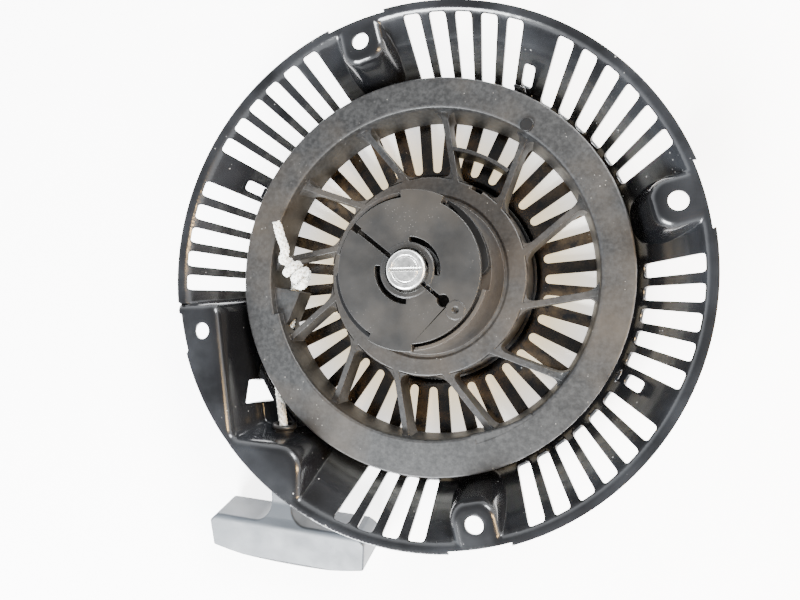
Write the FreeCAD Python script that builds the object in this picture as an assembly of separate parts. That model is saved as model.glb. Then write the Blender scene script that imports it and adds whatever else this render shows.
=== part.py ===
"""Recoil starter of a twin-cylinder engine: slotted steel housing, rope pulley, pawls, rope and handle.

Frame: millimetres. The origin is the centre of the bolt circle in the mounting plane.
+Z points towards the engine, so the closed side of the housing faces -Z. The rope leaves towards -Y.
"""
import FreeCAD, Part
import math
import os

from FreeCAD import Base

V = Base.Vector
UP = V(0, 0, 1)
ORIGIN = V(0, 0, 0)

# ---- housing, a deep-drawn steel bowl ----
SHEET = 1.6
RIM_R = 130.0
TAB_RIM_R = 128.6
WALL_TOP_R = 126.0
WALL_SLOPE = 0.574
FLOOR_Z = -43.0
CUP_R = 55.8
CUP_Z = -46.0
FLOOR_FILLET = 5.0
RIM_FILLET = 3.0
BOLT_CIRCLE_R = 118.15
BOLT_HOLE_R = 4.25
BOLT_ANGLE = 13.5
PAD_HALF_WIDTH = 12.0
PAD_INNER_R = 107.0
PAD_END_RADIUS = 9.0
PAD_DRAFT = 5.5
PAD_FILLET = 3.2
WALL_SLOT_R = (104.3, 125.2)
WALL_SLOT_ANGLE = 3.7
WALL_SLOT_PITCH = 5.85
SLOT_GROUP_STARTS = (24.7, 114.6, 294.4)
LAST_SLOTS_START = 250.6
GUIDE_R = 102.0
FLOOR_SLOT_COUNT = 36
FLOOR_SLOT_R = (57.6, 92.0)
FLOOR_SLOT_HALF_WIDTHS = (2.3, 4.9)

# ---- rope and its outlet ----
ROPE_R = 2.5
WINDING_R = 88.3
ROPE_COLUMNS = (-21.8, -27.1, -32.4)
TURN_ARC = 334.0
OUTLET = V(-79.0, -81.7, -24.0)
OUTLET_WALL_YAW = -4.3
OUTLET_WALL_TILT = 6.2
EYELET_R = 5.2
EYELET_BORE_R = 4.2
POCKET_Z = -31.0

# ---- pulley ----
RING_TOP_Z = -16.1
RING_BOTTOM_Z = -38.0
RING_R = 99.4
GROOVE_FLOOR_R = 85.6
RING_INNER_R = 83.6
RING_THICK_INNER_R = 80.8
FLANGE_T = 2.9
WEB_TOP_Z = -21.0
WEB_BOTTOM_Z = -36.0
HUB_FLANGE_R = 50.5
SKIRT_R = 51.6
SKIRT_BOTTOM_Z = -43.2
SPRING_CAVITY_R = 46.5
SPRING_CAVITY_Z = -26.0
DRUM_BASE_R = 39.2
DRUM_TOP_R = 36.5
DRUM_FLOOR_Z = 1.0
COLLAR_T = 1.9
SPOKE_COUNT = 12
SPOKE_T = 3.0
SPOKE_FIRST_ANGLE = 23.6
SPOKE_SWEEP = 14.0

# ---- post, screw and friction plate ----
POST_R = 7.95
POST_TOP_Z = 9.0
BUSHING_R = 10.0
SHOULDER_R = 6.5
SCREW_HEAD_R = 9.1
SCREW_HEAD_Z = (12.9, 16.4)
SCREW_SHANK_R = 3.9
PLATE_R = 33.4
PLATE_TAB_R = 36.8
PLATE_Z = (9.3, 13.1)
PLATE_TABS = ((62.5, 95.0), (239.0, 273.5))

# ---- pawls ----
PAWL_Z = (1.4, 8.8)
PAWL_PIVOT_R = 31.0
PAWL_PIVOT_ANGLE = 5.0
PAWL_PIN_R = 2.2
PAWL_SWING = 20.0
PLATE_LAG = 22.0
PEG_R = 1.5
PEG_POLAR = (27.5, 21.0)

# ---- handle ----
HANDLE_CENTRE = V(-77.5, -138.0, -33.2)
HANDLE_DROOP = 15.0
HANDLE_YAW = -3.5
GRIP_HALF_LENGTH = 45.0
GRIP_HALF_DEPTH = 11.0
GRIP_TOP_Y = 11.0
NECK_TIP_Y = 44.0
NECK_X = -3.0
NECK_HALF_WIDTH = 6.0


def polar(radius, degrees, z=0.0):
    """A point at a radius and an angle from +X."""
    a = math.radians(degrees)
    return V(radius * math.cos(a), radius * math.sin(a), z)


def turned(shape, degrees, centre=ORIGIN, axis=UP):
    """A copy of a shape turned about an axis."""
    copy = shape.copy()
    copy.rotate(centre, axis, degrees)
    return copy


def cylinder(radius, z0, z1, centre=ORIGIN):
    """An upright cylinder between two heights."""
    return Part.makeCylinder(radius, z1 - z0, V(centre.x, centre.y, z0), UP)


def ring(inner, outer, z0, z1):
    """An upright ring between two heights."""
    return cylinder(outer, z0, z1).cut(cylinder(inner, z0 - 1, z1 + 1))


def rod(start, end, radius):
    """A round bar between two points."""
    along = end - start
    return Part.makeCylinder(radius, along.Length, start, along)


def prism(points, z0, z1):
    """An upright prism over a polygon given as (x, y) pairs."""
    corners = [V(x, y, z0) for x, y in points]
    face = Part.Face(Part.makePolygon(corners + corners[:1]))
    return face.extrude(V(0, 0, z1 - z0))


def rounded_prism(points, z0, z1, radius):
    """A prism whose upright edges are rounded."""
    solid = prism(points, z0, z1)
    upright = [e for e in solid.Edges if abs(e.tangentAt(e.FirstParameter).z) > 0.99]
    return solid.makeFillet(radius, upright)


def sector(inner, outer, first, last, z0, z1):
    """A piece of a ring between two angles."""
    profile = prism_xz([(inner, z0), (outer, z0), (outer, z1), (inner, z1)])
    return turned(profile.revolve(ORIGIN, UP, last - first), first)


def prism_xz(points):
    """A flat face over (x, z) pairs in the XZ plane."""
    corners = [V(x, 0, z) for x, z in points]
    return Part.Face(Part.makePolygon(corners + corners[:1]))


def revolved(points):
    """A solid of revolution about Z over (radius, z) pairs."""
    return prism_xz(points).revolve(ORIGIN, UP, 360)


def tapered(outline, z_bottom, z_top, spread):
    """A prism that is wider by spread at its bottom; outline is a face at z 0."""
    top = outline.copy()
    top.translate(V(0, 0, z_top))
    bottom = outline.makeOffset2D(spread) if spread else outline.copy()
    bottom.translate(V(0, 0, z_bottom))
    return Part.makeLoft([bottom.OuterWire, top.OuterWire], True)


def one_solid(shape):
    """The single solid of a boolean result, with merged faces."""
    return shape.removeSplitter().Solids[0]


# ---------------------------------------------------------------- housing

def bowl_profile(offset):
    """(radius, z) edges of the sheet's upper face, moved down and out by offset, as one closed face."""
    slope = math.atan(WALL_SLOPE)
    shift = offset / math.cos(slope)
    floor_z = FLOOR_Z - offset
    cup_z = CUP_Z - offset
    rim_z = -offset
    cup_r = CUP_R + 0.4 * offset

    def wall_r(z):
        return WALL_TOP_R + shift + WALL_SLOPE * z

    corner = V(wall_r(floor_z), 0, floor_z)
    shoulder = V(wall_r(rim_z), 0, rim_z)
    up_wall = V(math.sin(slope), 0, math.cos(slope))
    # both bends turn the sheet by this angle, so the tangent length is radius * tan(half of it)
    half_turn = math.tan((math.pi / 2 - slope) / 2)
    low = (FLOOR_FILLET + offset) * half_turn
    high = max(RIM_FILLET - offset, 1.0) * half_turn
    p1 = V(cup_r - 1.6, 0, cup_z)
    p2 = V(cup_r, 0, floor_z)
    p3 = corner - V(low, 0, 0)
    p4 = corner + up_wall * low
    p5 = shoulder - up_wall * high
    p6 = shoulder + V(high, 0, 0)
    p7 = V(RIM_R + 1, 0, rim_z)
    edges = [
        Part.LineSegment(V(0, 0, cup_z), p1).toShape(),
        Part.LineSegment(p1, p2).toShape(),
        Part.LineSegment(p2, p3).toShape(),
        bend(p3, corner, p4),
        Part.LineSegment(p4, p5).toShape(),
        bend(p5, shoulder, p6),
        Part.LineSegment(p6, p7).toShape(),
        Part.LineSegment(p7, V(RIM_R + 1, 0, 10)).toShape(),
        Part.LineSegment(V(RIM_R + 1, 0, 10), V(0, 0, 10)).toShape(),
        Part.LineSegment(V(0, 0, 10), V(0, 0, cup_z)).toShape(),
    ]
    return Part.Face(Part.Wire(edges))


def bend(start, corner, end):
    """The arc from start to end that touches both legs of a corner; start and end are equally far from it."""
    leg = (start - corner).Length
    half = (start - corner).getAngle(end - corner) / 2
    radius = leg * math.tan(half)
    middle_way = (start - corner).normalize() + (end - corner).normalize()
    centre = corner + middle_way.normalize() * (leg / math.cos(half))
    middle = centre + (corner - centre).normalize() * radius
    return Part.Arc(start, middle, end).toShape()


def bolt_pad_outline(grow):
    """A tongue that runs in from the rim at angle 0 and has a round inner end."""
    w = PAD_HALF_WIDTH + grow
    r = PAD_END_RADIUS + grow
    x0 = PAD_INNER_R - grow
    x1 = RIM_R + 12
    d = r * math.sqrt(0.5)
    edges = [
        Part.LineSegment(V(x1, -w, 0), V(x1, w, 0)).toShape(),
        Part.LineSegment(V(x1, w, 0), V(x0 + r, w, 0)).toShape(),
        Part.Arc(V(x0 + r, w, 0), V(x0 + r - d, w - r + d, 0), V(x0, w - r, 0)).toShape(),
        Part.LineSegment(V(x0, w - r, 0), V(x0, r - w, 0)).toShape(),
        Part.Arc(V(x0, r - w, 0), V(x0 + r - d, r - w - d, 0), V(x0 + r, -w, 0)).toShape(),
        Part.LineSegment(V(x0 + r, -w, 0), V(x1, -w, 0)).toShape(),
    ]
    return Part.Face(Part.Wire(edges))


def outlet_pad_outline(grow):
    """The wide flat corner that carries the fourth bolt hole and overhangs the rope outlet."""
    points = [
        (-150, -13), (-150, -150), (-57.8, -150), (-57.8, -96), (-60.5, -84.8),
        (-97.4, -82.0), (-100.6, -50), (-103.6, -30), (-106.5, -13),
    ]
    corners = [V(x, y, 0) for x, y in points]
    face = Part.Face(Part.makePolygon(corners + corners[:1]))
    return face.makeOffset2D(grow) if grow else face


def round_top(solid, z_top, radius):
    """Rounds the edges of a pad that lie in its top face, inside the rim."""
    top_edges = []
    for edge in solid.Edges:
        box = edge.BoundBox
        mid = edge.valueAt((edge.FirstParameter + edge.LastParameter) / 2)
        flat_top = abs(box.ZMin - z_top) < 1e-6 and abs(box.ZMax - z_top) < 1e-6
        if flat_top and math.hypot(mid.x, mid.y) < RIM_R + 8:
            top_edges.append(edge)
    return solid.makeFillet(radius, top_edges)


def pads(outline_of, inner):
    """One pad as a solid: its outside, or the hollow under it one sheet thickness inside."""
    grow = -SHEET if inner else 0.0
    z_top = -SHEET if inner else 0.0
    radius = PAD_FILLET - SHEET if inner else PAD_FILLET
    solid = tapered(outline_of(grow), FLOOR_Z - 8, z_top, PAD_DRAFT)
    return round_top(solid, z_top, radius)


def wall_slot(first_angle, inner=WALL_SLOT_R[0], outer=WALL_SLOT_R[1], span=WALL_SLOT_ANGLE):
    """The cutter of one radial slot in the conical wall."""
    corners = [(inner, 0), (outer, 0), (outer, span), (inner, span)]
    points = [(polar(r, a).x, polar(r, a).y) for r, a in corners]
    return turned(rounded_prism(points, FLOOR_Z - 8, 6, 1.3), first_angle)


def wall_slots():
    """All slots of the wall: groups of six, one short slot and five, and the last four by the outlet."""
    cutters = []
    for start in SLOT_GROUP_STARTS:
        for k in range(6):
            cutters.append(wall_slot(start + k * WALL_SLOT_PITCH))
        for k in range(5):
            cutters.append(wall_slot(start + 41.0 + k * WALL_SLOT_PITCH))
        cutters.append(wall_slot(start + 36.3, 107.2, 114.3, 3.0))
    for k in range(4):
        cutters.append(wall_slot(LAST_SLOTS_START + k * WALL_SLOT_PITCH))
    return cutters


def floor_slots():
    """The ring of wedge-shaped air slots in the floor."""
    r0, r1 = FLOOR_SLOT_R
    w0, w1 = FLOOR_SLOT_HALF_WIDTHS
    wedge = prism([(r0 + w0, -w0), (r1, -w1), (r1, w1), (r0 + w0, w0)], FLOOR_Z - 8, FLOOR_Z + 3)
    outer_edges = [e for e in wedge.Edges if e.BoundBox.XMin > r1 - 0.01 and e.BoundBox.ZLength > 5]
    wedge = wedge.makeFillet(1.5, outer_edges)
    wedge = wedge.fuse(cylinder(w0, FLOOR_Z - 8, FLOOR_Z + 3, V(r0 + w0, 0, 0)))
    step = 360 / FLOOR_SLOT_COUNT
    return [turned(wedge, k * step - 1.2) for k in range(FLOOR_SLOT_COUNT)]


def outlet_pocket(z_floor, grow):
    """The room over the pocket floor beside the rope outlet; the outlet pad shapes its walls."""
    points = [(-118, -12), (-118, -98), (-66, -98), (-66, -40), (-92, -12)]
    corners = [V(x, y, 0) for x, y in points]
    face = Part.Face(Part.makePolygon(corners + corners[:1])).makeOffset2D(grow + 0.01)
    face.translate(V(0, 0, z_floor))
    return face.extrude(V(0, 0, 10 - z_floor))


def pocket_window():
    """The window that runs down the straight wall and into the pocket floor."""
    wall_corners = [V(-112, -67.0, -14.5), V(-112, -67.0, -40), V(-112, -54, -40), V(-112, -54, -21)]
    in_wall = Part.Face(Part.makePolygon(wall_corners + wall_corners[:1])).extrude(V(15.2, 0, 0))
    in_floor = prism([(-101, -54), (-96, -55), (-89, -66.5), (-101, -67.0)], FLOOR_Z, POCKET_Z + 4)
    return in_wall.fuse(in_floor)


def rope_guide(angle):
    """A finger lanced from the wall that keeps the rope in the pulley groove."""
    finger = prism([(GUIDE_R, -3), (GUIDE_R + SHEET, -3), (GUIDE_R + SHEET, 3), (GUIDE_R, 3)], -39.5, -20)
    return turned(finger, angle)


def housing():
    """The stamped housing with its pads, slots, holes and rope guides."""
    above_sheet = bowl_profile(0).revolve(ORIGIN, UP, 360).fuse(outlet_pocket(POCKET_Z, 0))
    above_outside = bowl_profile(SHEET).revolve(ORIGIN, UP, 360).fuse(outlet_pocket(POCKET_Z - SHEET, SHEET))
    for k in range(4):
        outline = outlet_pad_outline if k == 2 else bolt_pad_outline
        turn = 0 if k == 2 else BOLT_ANGLE + 90 * k
        above_sheet = above_sheet.cut(turned(pads(outline, False), turn))
        above_outside = above_outside.cut(turned(pads(outline, True), turn))
    sheet = above_outside.cut(above_sheet)
    sheet = sheet.common(cylinder(RIM_R, CUP_Z - 5, 0))
    trims = [(BOLT_ANGLE + 90 * k - 6.5, BOLT_ANGLE + 90 * k + 6.5) for k in (0, 1, 3)]
    trims.append((185.5, 201.5))
    for first, last in trims:
        sheet = sheet.cut(sector(TAB_RIM_R, RIM_R + 5, first, last, -20, 5))
    for k, start in enumerate(SLOT_GROUP_STARTS):
        sheet = sheet.fuse(rope_guide(start + 37.8))
    cutters = wall_slots() + floor_slots()
    for k in range(4):
        cutters.append(cylinder(BOLT_HOLE_R, -10, 5, polar(BOLT_CIRCLE_R, BOLT_ANGLE + 90 * k)))
    cutters.append(pocket_window())
    cutters.append(at_outlet(Part.makeCylinder(EYELET_R, 16, V(0, -8, 0), V(0, 1, 0))))
    cutters.append(cylinder(5.0, CUP_Z - 5, 0))
    return one_solid(sheet.cut(Part.makeCompound(cutters)))


# ---------------------------------------------------------------- fixed pieces on the housing

def at_outlet(shape):
    """A shape about the origin moved to the rope outlet, its Y axis square to the wall."""
    yaw = Base.Rotation(V(0, 0, 1), OUTLET_WALL_YAW)
    tilt = Base.Rotation(V(1, 0, 0), OUTLET_WALL_TILT)
    shape.Placement = Base.Placement(OUTLET, yaw.multiply(tilt)).multiply(shape.Placement)
    return shape


def rope_eyelet():
    """The flanged steel eyelet in the wall, through which the rope leaves."""
    along = V(0, 1, 0)
    barrel = Part.makeCylinder(EYELET_R - 0.05, 6.4, V(0, -3.2, 0), along)
    lip = Part.makeTorus(EYELET_R, 1.4, V(0, 3.2, 0), along)
    outer_lip = Part.makeTorus(EYELET_R, 1.4, V(0, -3.2, 0), along)
    hole = Part.makeCylinder(EYELET_BORE_R, 20, V(0, -10, 0), along)
    return at_outlet(one_solid(barrel.fuse([lip, outer_lip]).cut(hole)))


def centre_post():
    """The fixed post riveted to the housing floor; the pulley turns on it."""
    post = cylinder(POST_R, CUP_Z, POST_TOP_Z)
    post = post.fuse(cylinder(14.0, CUP_Z, CUP_Z + 1.1))
    post = post.fuse(cylinder(4.95, CUP_Z - SHEET, CUP_Z))
    hook_slot = Part.makeBox(2 * POST_R, 1.2, 15.4, V(0, -0.6, -42.6))
    post = post.cut(hook_slot)
    return one_solid(post.cut(cylinder(4.0, -12, POST_TOP_Z + 1)))


def centre_screw():
    """The shoulder screw with a pan head, a ring groove and a driving slot."""
    head = cylinder(SCREW_HEAD_R, *SCREW_HEAD_Z)
    rim = [e for e in head.Edges if e.BoundBox.ZMin > SCREW_HEAD_Z[1] - 0.01]
    head = head.makeFillet(1.1, rim)
    screw = head.fuse(cylinder(SHOULDER_R, POST_TOP_Z, SCREW_HEAD_Z[0]))
    screw = screw.fuse(cylinder(SCREW_SHANK_R, -10, POST_TOP_Z))
    top = SCREW_HEAD_Z[1]
    groove = ring(5.6, 6.6, top - 0.5, top + 1)
    slot = Part.makeBox(15.2, 1.5, 3, V(-7.6, -0.75, top - 1.3))
    dish = cylinder(5.6, top - 0.25, top + 1)
    return one_solid(screw.cut(groove).cut(slot).cut(dish))


def screw_washer():
    """The flat washer between the screw head and the friction plate."""
    return ring(SHOULDER_R + 0.1, 8.8, 12.0, 12.85)


def thrust_washer():
    """The washer on the post that keeps the pulley down and carries the friction spring."""
    return ring(POST_R + 0.1, 13.0, 1.1, 2.1)


def friction_spring():
    """The short coil spring that presses the friction plate against the screw head."""
    wire_r = 0.6
    coil_r = 9.9
    helix = Part.makeHelix(2.2, 5.5, coil_r)
    circle = Part.Wire(Part.makeCircle(wire_r, V(coil_r, 0, 0), V(0, 1, 0)))
    coil = Part.Wire(helix).makePipeShell([circle], True, True)
    coil.translate(V(0, 0, 2.85))
    return coil


def rewind_spring():
    """The flat spiral spring: half circles on two centres, with a tongue in the post at the inner end."""
    strip = 0.8
    turns = 8
    first_r = 13.0
    step = 1.65
    z0, z1 = -42.2, -28.2
    inner, outer = [], []
    for k in range(2 * turns):
        side = 1 if k % 2 == 0 else -1
        centre_x = 0 if k % 2 == 0 else step
        r = first_r + k * step
        for radius, path in ((r, inner), (r + strip, outer)):
            a = V(centre_x + side * radius, 0, z0)
            b = V(centre_x, side * radius, z0)
            c = V(centre_x - side * radius, 0, z0)
            path.append(Part.Arc(a, b, c).toShape())
    ends = [
        Part.LineSegment(V(first_r, 0, z0), V(first_r + strip, 0, z0)).toShape(),
        Part.LineSegment(inner[-1].Vertexes[-1].Point, outer[-1].Vertexes[-1].Point).toShape(),
    ]
    wire = Part.Wire(Part.__sortEdges__(inner + outer + ends))
    spiral = Part.Face(wire).extrude(V(0, 0, z1 - z0))
    tongue = Part.makeBox(first_r, strip, z1 - z0, V(0.6, -strip / 2, z0))
    return one_solid(spiral.fuse(tongue))


# ---------------------------------------------------------------- pulley

def ring_wall():
    """The grooved rope ring, thicker inside where the rope is anchored."""
    outline = [
        (RING_INNER_R - 1.2, RING_BOTTOM_Z), (RING_R, RING_BOTTOM_Z), (RING_R, RING_BOTTOM_Z + FLANGE_T - 0.8),
        (GROOVE_FLOOR_R, RING_BOTTOM_Z + FLANGE_T), (GROOVE_FLOOR_R, RING_TOP_Z - FLANGE_T),
        (RING_R, RING_TOP_Z - FLANGE_T + 0.8), (RING_R, RING_TOP_Z - 0.6), (RING_R - 0.6, RING_TOP_Z),
        (RING_INNER_R + 2.4, RING_TOP_Z), (RING_INNER_R + 0.7, RING_TOP_Z - 0.7), (RING_INNER_R, RING_TOP_Z - 2.6),
    ]
    ring_body = revolved(outline)
    thick = [
        (RING_THICK_INNER_R, RING_BOTTOM_Z), (RING_INNER_R + 1, RING_BOTTOM_Z), (RING_INNER_R + 1, RING_TOP_Z - 0.6),
        (RING_THICK_INNER_R + 1.8, RING_TOP_Z), (RING_THICK_INNER_R + 0.5, RING_TOP_Z - 0.7),
        (RING_THICK_INNER_R, RING_TOP_Z - 2.6),
    ]
    filler = [
        (RING_THICK_INNER_R + 1.8, RING_TOP_Z - 3), (RING_INNER_R + 3, RING_TOP_Z - 3), (RING_INNER_R + 3, RING_TOP_Z),
        (RING_THICK_INNER_R + 1.8, RING_TOP_Z),
    ]
    first, last = 193.0, 288.0
    extra = turned(prism_xz(thick).revolve(ORIGIN, UP, last - first), first)
    cover = turned(prism_xz(filler).revolve(ORIGIN, UP, last - first), first)
    return ring_body.fuse([extra, cover])


def spokes():
    """Twelve straight ribs that sweep from the hub flange to the ring."""
    made = []
    for k in range(SPOKE_COUNT):
        angle = SPOKE_FIRST_ANGLE + k * 360 / SPOKE_COUNT
        outer = polar(RING_INNER_R + 1.2, angle)
        inner = polar(HUB_FLANGE_R - 4, angle - SPOKE_SWEEP)
        along = (outer - inner).normalize()
        side = V(-along.y, along.x, 0) * (SPOKE_T / 2)
        corners = [inner - side, outer - side, outer + side, inner + side]
        made.append(prism([(p.x, p.y) for p in corners], WEB_BOTTOM_Z, WEB_TOP_Z))
    return made


def hub():
    """Hub flange, spring skirt and the drum that carries the pawls."""
    outline = [
        (BUSHING_R, SPRING_CAVITY_Z), (SPRING_CAVITY_R, SPRING_CAVITY_Z), (SPRING_CAVITY_R, SKIRT_BOTTOM_Z),
        (SKIRT_R, SKIRT_BOTTOM_Z), (HUB_FLANGE_R, WEB_TOP_Z - 0.8), (HUB_FLANGE_R - 0.8, WEB_TOP_Z),
        (DRUM_BASE_R + 2.6, WEB_TOP_Z), (DRUM_BASE_R + 1.6, WEB_TOP_Z - 0.8), (DRUM_BASE_R, WEB_TOP_Z - 0.8),
        (DRUM_TOP_R, DRUM_FLOOR_Z), (BUSHING_R, DRUM_FLOOR_Z),
    ]
    body = revolved(outline)
    body = body.cut(ring(15.0, 33.0, SPRING_CAVITY_Z - 1, DRUM_FLOOR_Z - 7))
    ribs = []
    for k in range(6):
        rib = prism([(14, -1.2), (34, -1.2), (34, 1.2), (14, 1.2)], SPRING_CAVITY_Z, DRUM_FLOOR_Z - 6.5)
        ribs.append(turned(rib, 30 + 60 * k))
    body = body.fuse(ribs)
    collars = []
    for first, last, top in ((64.5, 96.5, 8.9), (97.0, 166.0, 10.6), (244.5, 276.5, 8.9), (277.0, 345.0, 10.6)):
        collars.append(sector(DRUM_TOP_R - COLLAR_T, DRUM_TOP_R, first, last, DRUM_FLOOR_Z - 0.5, top))
    return body.fuse(collars)


def rope_anchor():
    """The boss behind the ring through which the rope end comes to its knot."""
    return prism([(-83.6, -4), (-68.5, -7), (-74.8, -21.5), (-79.5, -28), (-82.4, -20)], -35, -20)


def anchor_hole_line():
    """Start and end of the slanting rope hole, from the groove to the end of the anchor boss."""
    return V(-81.2, -37.0, -31.0), V(-73.6, -5.0, -24.6)


def pulley():
    """The moulded pulley."""
    body = ring_wall().fuse(spokes() + [hub(), rope_anchor()])
    rib = sector(64.4, 66.4, 50.5, 78.5, WEB_BOTTOM_Z, WEB_TOP_Z)
    body = body.fuse(rib)
    start, end = anchor_hole_line()
    beyond = (end - start).normalize() * 6
    hole = rod(start - beyond, end + beyond, ROPE_R + 0.3)
    hook_window = turned(Part.makeBox(2.2, 5.8, 30, V(48.6, -2.9, -44)), 58)
    cutters = [hole, hook_window]
    for k in range(2):
        pivot = polar(PAWL_PIVOT_R, PAWL_PIVOT_ANGLE + 180 * k)
        cutters.append(cylinder(PAWL_PIN_R + 0.05, -7, DRUM_FLOOR_Z + 1, pivot))
    pin = polar(87.2, 54.0)
    cutters.append(cylinder(1.75, RING_TOP_Z - 2.6, RING_TOP_Z + 1, pin))
    return one_solid(body.cut(Part.makeCompound(cutters)))


def hub_bushing():
    """The plain bush pressed into the pulley bore."""
    return ring(POST_R + 0.05, BUSHING_R, SPRING_CAVITY_Z, DRUM_FLOOR_Z)


def spring_keeper():
    """The pressed steel cover that closes the spring chamber, with a turned-up rim."""
    disc = ring(16.0, 53.4, -44.5, -43.3)
    rim = ring(52.3, 53.4, -44.5, -42.4)
    collar = ring(16.0, 17.2, -44.5, -43.0)
    return one_solid(disc.fuse([rim, collar]))


def pulley_pin():
    """The round-headed pin beside the inner edge of the ring."""
    seat = polar(87.2, 54.0)
    head = cylinder(3.3, RING_TOP_Z + 0.05, RING_TOP_Z + 1.6, seat)
    stem = cylinder(1.7, RING_TOP_Z - 2.5, RING_TOP_Z + 0.2, seat)
    return one_solid(head.fuse(stem))


# ---------------------------------------------------------------- rope

def tangent_angle():
    """The angle at which the top turn lets go of the winding."""
    distance = math.hypot(OUTLET.x, OUTLET.y)
    outlet_angle = math.degrees(math.atan2(OUTLET.y, OUTLET.x)) % 360
    return outlet_angle - math.degrees(math.acos(WINDING_R / distance))


def rope_winding():
    """Three turns of rope side by side in the groove; each ends where it steps to the next column."""
    turns = []
    for k, z in enumerate(ROPE_COLUMNS):
        circle = Part.makeCircle(ROPE_R, V(WINDING_R, 0, z), V(0, 1, 0))
        turn = Part.Face(Part.Wire(circle)).revolve(ORIGIN, UP, TURN_ARC)
        turns.append(turned(turn, tangent_angle() - TURN_ARC))
    return Part.makeCompound([t.Solids[0] for t in turns])


def tangent_point():
    """Where the rope leaves the winding, on the line that touches it and runs to the outlet."""
    return polar(WINDING_R, tangent_angle(), ROPE_COLUMNS[0])


def handle_place():
    """The handle's rest placement: drooped and turned a little, lying on the ground."""
    turn = Base.Rotation(V(0, 0, 1), HANDLE_YAW).multiply(Base.Rotation(V(1, 0, 0), HANDLE_DROOP))
    return Base.Placement(HANDLE_CENTRE, turn)


def neck_tip():
    """The middle of the handle's neck face, where the rope goes in."""
    return handle_place().multVec(V(NECK_X, NECK_TIP_Y, 0))


def rope_run():
    """The rope from the winding through the eyelet to the handle: three straight runs and tangent arcs."""
    neck_way = (neck_tip() - handle_place().multVec(V(NECK_X, 0, 0))).normalize()
    way_out = (OUTLET - tangent_point()).normalize()
    points = [
        tangent_point() + way_out * 2.0,
        OUTLET + way_out * 6.5,
        neck_tip() + neck_way * 4.0,
        neck_tip() + neck_way * 0.3,
    ]
    return tube(tube_path(points), points)


def tube_path(points):
    """A wire of straight runs joined by tangent arcs."""
    edges = []
    last = points[0]
    for before, corner, after in zip(points, points[1:], points[2:]):
        run_in = before - corner
        run_out = after - corner
        leg = 0.45 * min(run_in.Length, run_out.Length)
        a = corner + run_in.normalize() * leg
        b = corner + run_out.normalize() * leg
        edges.append(Part.LineSegment(last, a).toShape())
        edges.append(bend(a, corner, b))
        last = b
    edges.append(Part.LineSegment(last, points[-1]).toShape())
    return Part.Wire(edges)


def tube(wire, points, radius=ROPE_R):
    """A round tube along a wire."""
    circle = Part.Wire(Part.makeCircle(radius, points[0], points[1] - points[0]))
    return wire.makePipeShell([circle], True, True)


def rope_knot():
    """The stopper knot behind the anchor boss, the rope in the boss and the free tail."""
    start, end = anchor_hole_line()
    knot_low = V(-66.8, 0.6, -17.2)
    knot_high = V(-75.2, 3.6, -16.0)
    lead = rod(start + (end - start) * 0.1, end, ROPE_R)
    entry = rod(end, V(-70.5, 0.5, -19.5), ROPE_R)
    tail_bend = V(-75.4, 14.0, -12.6)
    tail_end = V(-78.6, 30.5, -11.0)
    tail_a = rod(V(-71.5, 5.0, -15.5), tail_bend, ROPE_R)
    tail_b = rod(tail_bend, tail_end, ROPE_R)
    balls = [
        Part.makeSphere(4.6, knot_low), Part.makeSphere(3.9, knot_high), Part.makeSphere(5.4, V(-70.6, 2.2, -16.4)),
        Part.makeSphere(ROPE_R, tail_bend), Part.makeSphere(ROPE_R, end), Part.makeSphere(ROPE_R + 0.1, tail_end),
    ]
    return one_solid(lead.fuse([entry, tail_a, tail_b] + balls))


# ---------------------------------------------------------------- pawls and friction plate

def pawl():
    """One pawl: a curved arm with a round root, a pivot pin below and a drive peg above."""
    pivot = polar(PAWL_PIVOT_R, PAWL_PIVOT_ANGLE)
    z0, z1 = PAWL_Z
    edges = [
        Part.Arc(polar(36.4, 2, z0), polar(36.4, 30, z0), polar(36.4, 60.5, z0)).toShape(),
        Part.LineSegment(polar(36.4, 60.5, z0), polar(34.9, 60.5, z0)).toShape(),
        Part.Arc(polar(34.9, 60.5, z0), polar(31.2, 34, z0), polar(25.8, 13, z0)).toShape(),
        Part.LineSegment(polar(25.8, 13, z0), polar(36.4, 2, z0)).toShape(),
    ]
    arm = Part.Face(Part.Wire(edges)).extrude(V(0, 0, z1 - z0))
    body = arm.fuse(cylinder(5.3, z0, z1, pivot))
    body = body.fuse(cylinder(PAWL_PIN_R, -6.5, z0, pivot))
    peg = polar(*PEG_POLAR)
    return one_solid(body.fuse(cylinder(PEG_R, z1, 10.9, peg)))


def cam_slot():
    """The blind slot under the plate that the pawl's peg follows while the plate lags the pulley."""
    pivot = polar(PAWL_PIVOT_R, PAWL_PIVOT_ANGLE)
    steps = 9
    holes = []
    for k in range(steps):
        share = k / (steps - 1)
        peg = cylinder(PEG_R + 0.4, PLATE_Z[0] - 1, 11.3, polar(*PEG_POLAR))
        peg.rotate(pivot, UP, -PAWL_SWING * 0.99 * share)
        peg.rotate(ORIGIN, UP, PLATE_LAG * share)
        holes.append(peg)
    return holes


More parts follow.
